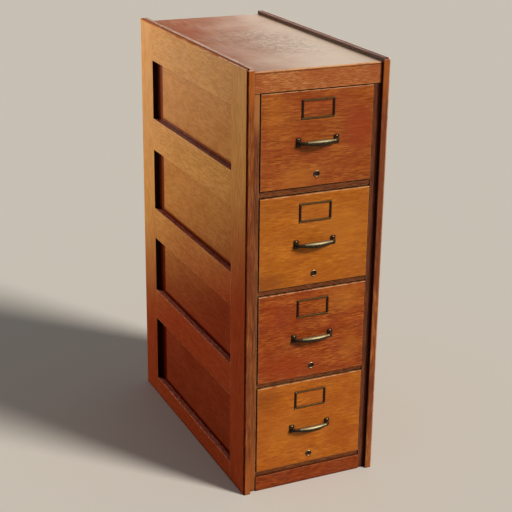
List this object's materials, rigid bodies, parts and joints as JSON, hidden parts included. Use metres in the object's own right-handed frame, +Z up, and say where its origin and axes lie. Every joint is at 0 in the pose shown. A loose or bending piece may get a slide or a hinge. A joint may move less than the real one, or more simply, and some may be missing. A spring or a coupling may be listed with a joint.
{
  "type": "wooden filing cabinet",
  "caption": "Upright wooden filing cabinet with framed and panelled sides, a stack of deep sliding drawers, bow pulls, label frames, guide rods and follower blocks",
  "frame": {"origin": "on the floor, under the middle of the outline with the pulls", "axes": "+X to the right seen from the front, +Y from the front to the back, +Z up"},
  "size_m": [0.446, 0.8896, 1.32],
  "materials": {
    "side_frame": "worn satin varnish",
    "side_panel": "worn satin varnish",
    "top": "glossy crazed varnish",
    "face_frame": "dark satin varnish",
    "drawer_front": "glossy varnish, figured grain",
    "drawer_box": "bare, aged",
    "back": "dull thin varnish",
    "runner": "bare, polished by wear",
    "brass": "tarnished, worn bright",
    "steel": "dull"
  },
  "bodies": {
    "case": {"left_front_stile": "side_frame", "left_rear_stile": "side_frame", "left_rails": "side_frame", "left_panels": "side_panel", "right_front_stile": "side_frame", "right_rear_stile": "side_frame", "right_rails": "side_frame", "right_panels": "side_panel", "top_board": "top", "bottom_board": "runner", "back_frame": "back", "back_panels": "back", "face_left_stile": "face_frame", "face_right_stile": "face_frame", "face_top_rail": "drawer_front", "divider_rails": "face_frame", "plinth_rail": "drawer_front", "left_case_runners": "runner", "right_case_runners": "runner", "case_screws": "steel"},
    "drawer_1": {"drawer_1_front": "drawer_front", "drawer_1_sides": "drawer_box", "drawer_1_back": "drawer_box", "drawer_1_bottom": "drawer_box", "drawer_1_pull": "brass", "drawer_1_label_holder": "brass", "drawer_1_fittings": "brass"},
    "drawer_1_bars": {"drawer_1_extension_bars": "runner"},
    "drawer_1_rod": {"drawer_1_guide_rod": "steel"},
    "drawer_1_block": {"drawer_1_follower": "drawer_box"},
    "drawer_2": {"drawer_2_front": "drawer_front", "drawer_2_sides": "drawer_box", "drawer_2_back": "drawer_box", "drawer_2_bottom": "drawer_box", "drawer_2_pull": "brass", "drawer_2_label_holder": "brass", "drawer_2_fittings": "brass"},
    "drawer_2_bars": {"drawer_2_extension_bars": "runner"},
    "drawer_2_rod": {"drawer_2_guide_rod": "steel"},
    "drawer_2_block": {"drawer_2_follower": "drawer_box"},
    "drawer_3": {"drawer_3_front": "drawer_front", "drawer_3_sides": "drawer_box", "drawer_3_back": "drawer_box", "drawer_3_bottom": "drawer_box", "drawer_3_pull": "brass", "drawer_3_label_holder": "brass", "drawer_3_fittings": "brass"},
    "drawer_3_bars": {"drawer_3_extension_bars": "runner"},
    "drawer_3_rod": {"drawer_3_guide_rod": "steel"},
    "drawer_3_block": {"drawer_3_follower": "drawer_box"},
    "drawer_4": {"drawer_4_front": "drawer_front", "drawer_4_sides": "drawer_box", "drawer_4_back": "drawer_box", "drawer_4_bottom": "drawer_box", "drawer_4_pull": "brass", "drawer_4_label_holder": "brass", "drawer_4_fittings": "brass"},
    "drawer_4_bars": {"drawer_4_extension_bars": "runner"},
    "drawer_4_rod": {"drawer_4_guide_rod": "steel"},
    "drawer_4_block": {"drawer_4_follower": "drawer_box"}
  },
  "joints": [
    {"name": "drawer_1_slide", "type": "slide", "parent": "case", "child": "drawer_1", "axis": [0, -1, 0], "range_m": [0, 0.62]},
    {"name": "drawer_1_bars_slide", "type": "slide", "parent": "case", "child": "drawer_1_bars", "axis": [0, -1, 0], "range_m": [0, 0.31]},
    {"name": "drawer_1_rod_draw", "type": "slide", "parent": "drawer_1", "child": "drawer_1_rod", "axis": [0, -1, 0], "range_m": [0, 0.74]},
    {"name": "drawer_1_follower_slide", "type": "slide", "parent": "drawer_1", "child": "drawer_1_block", "axis": [0, -1, 0], "range_m": [0, 0.6]},
    {"name": "drawer_2_slide", "type": "slide", "parent": "case", "child": "drawer_2", "axis": [0, -1, 0], "range_m": [0, 0.62]},
    {"name": "drawer_2_bars_slide", "type": "slide", "parent": "case", "child": "drawer_2_bars", "axis": [0, -1, 0], "range_m": [0, 0.31]},
    {"name": "drawer_2_rod_draw", "type": "slide", "parent": "drawer_2", "child": "drawer_2_rod", "axis": [0, -1, 0], "range_m": [0, 0.74]},
    {"name": "drawer_2_follower_slide", "type": "slide", "parent": "drawer_2", "child": "drawer_2_block", "axis": [0, -1, 0], "range_m": [0, 0.6]},
    {"name": "drawer_3_slide", "type": "slide", "parent": "case", "child": "drawer_3", "axis": [0, -1, 0], "range_m": [0, 0.62]},
    {"name": "drawer_3_bars_slide", "type": "slide", "parent": "case", "child": "drawer_3_bars", "axis": [0, -1, 0], "range_m": [0, 0.31]},
    {"name": "drawer_3_rod_draw", "type": "slide", "parent": "drawer_3", "child": "drawer_3_rod", "axis": [0, -1, 0], "range_m": [0, 0.74]},
    {"name": "drawer_3_follower_slide", "type": "slide", "parent": "drawer_3", "child": "drawer_3_block", "axis": [0, -1, 0], "range_m": [0, 0.6]},
    {"name": "drawer_4_slide", "type": "slide", "parent": "case", "child": "drawer_4", "axis": [0, -1, 0], "range_m": [0, 0.62]},
    {"name": "drawer_4_bars_slide", "type": "slide", "parent": "case", "child": "drawer_4_bars", "axis": [0, -1, 0], "range_m": [0, 0.31]},
    {"name": "drawer_4_rod_draw", "type": "slide", "parent": "drawer_4", "child": "drawer_4_rod", "axis": [0, -1, 0], "range_m": [0, 0.74]},
    {"name": "drawer_4_follower_slide", "type": "slide", "parent": "drawer_4", "child": "drawer_4_block", "axis": [0, -1, 0], "range_m": [0, 0.6]}
  ],
  "couplings": [
    {"joint": "drawer_1_bars_slide", "follows": "drawer_1_slide", "ratio": 0.5},
    {"joint": "drawer_2_bars_slide", "follows": "drawer_2_slide", "ratio": 0.5},
    {"joint": "drawer_3_bars_slide", "follows": "drawer_3_slide", "ratio": 0.5},
    {"joint": "drawer_4_bars_slide", "follows": "drawer_4_slide", "ratio": 0.5}
  ]
}
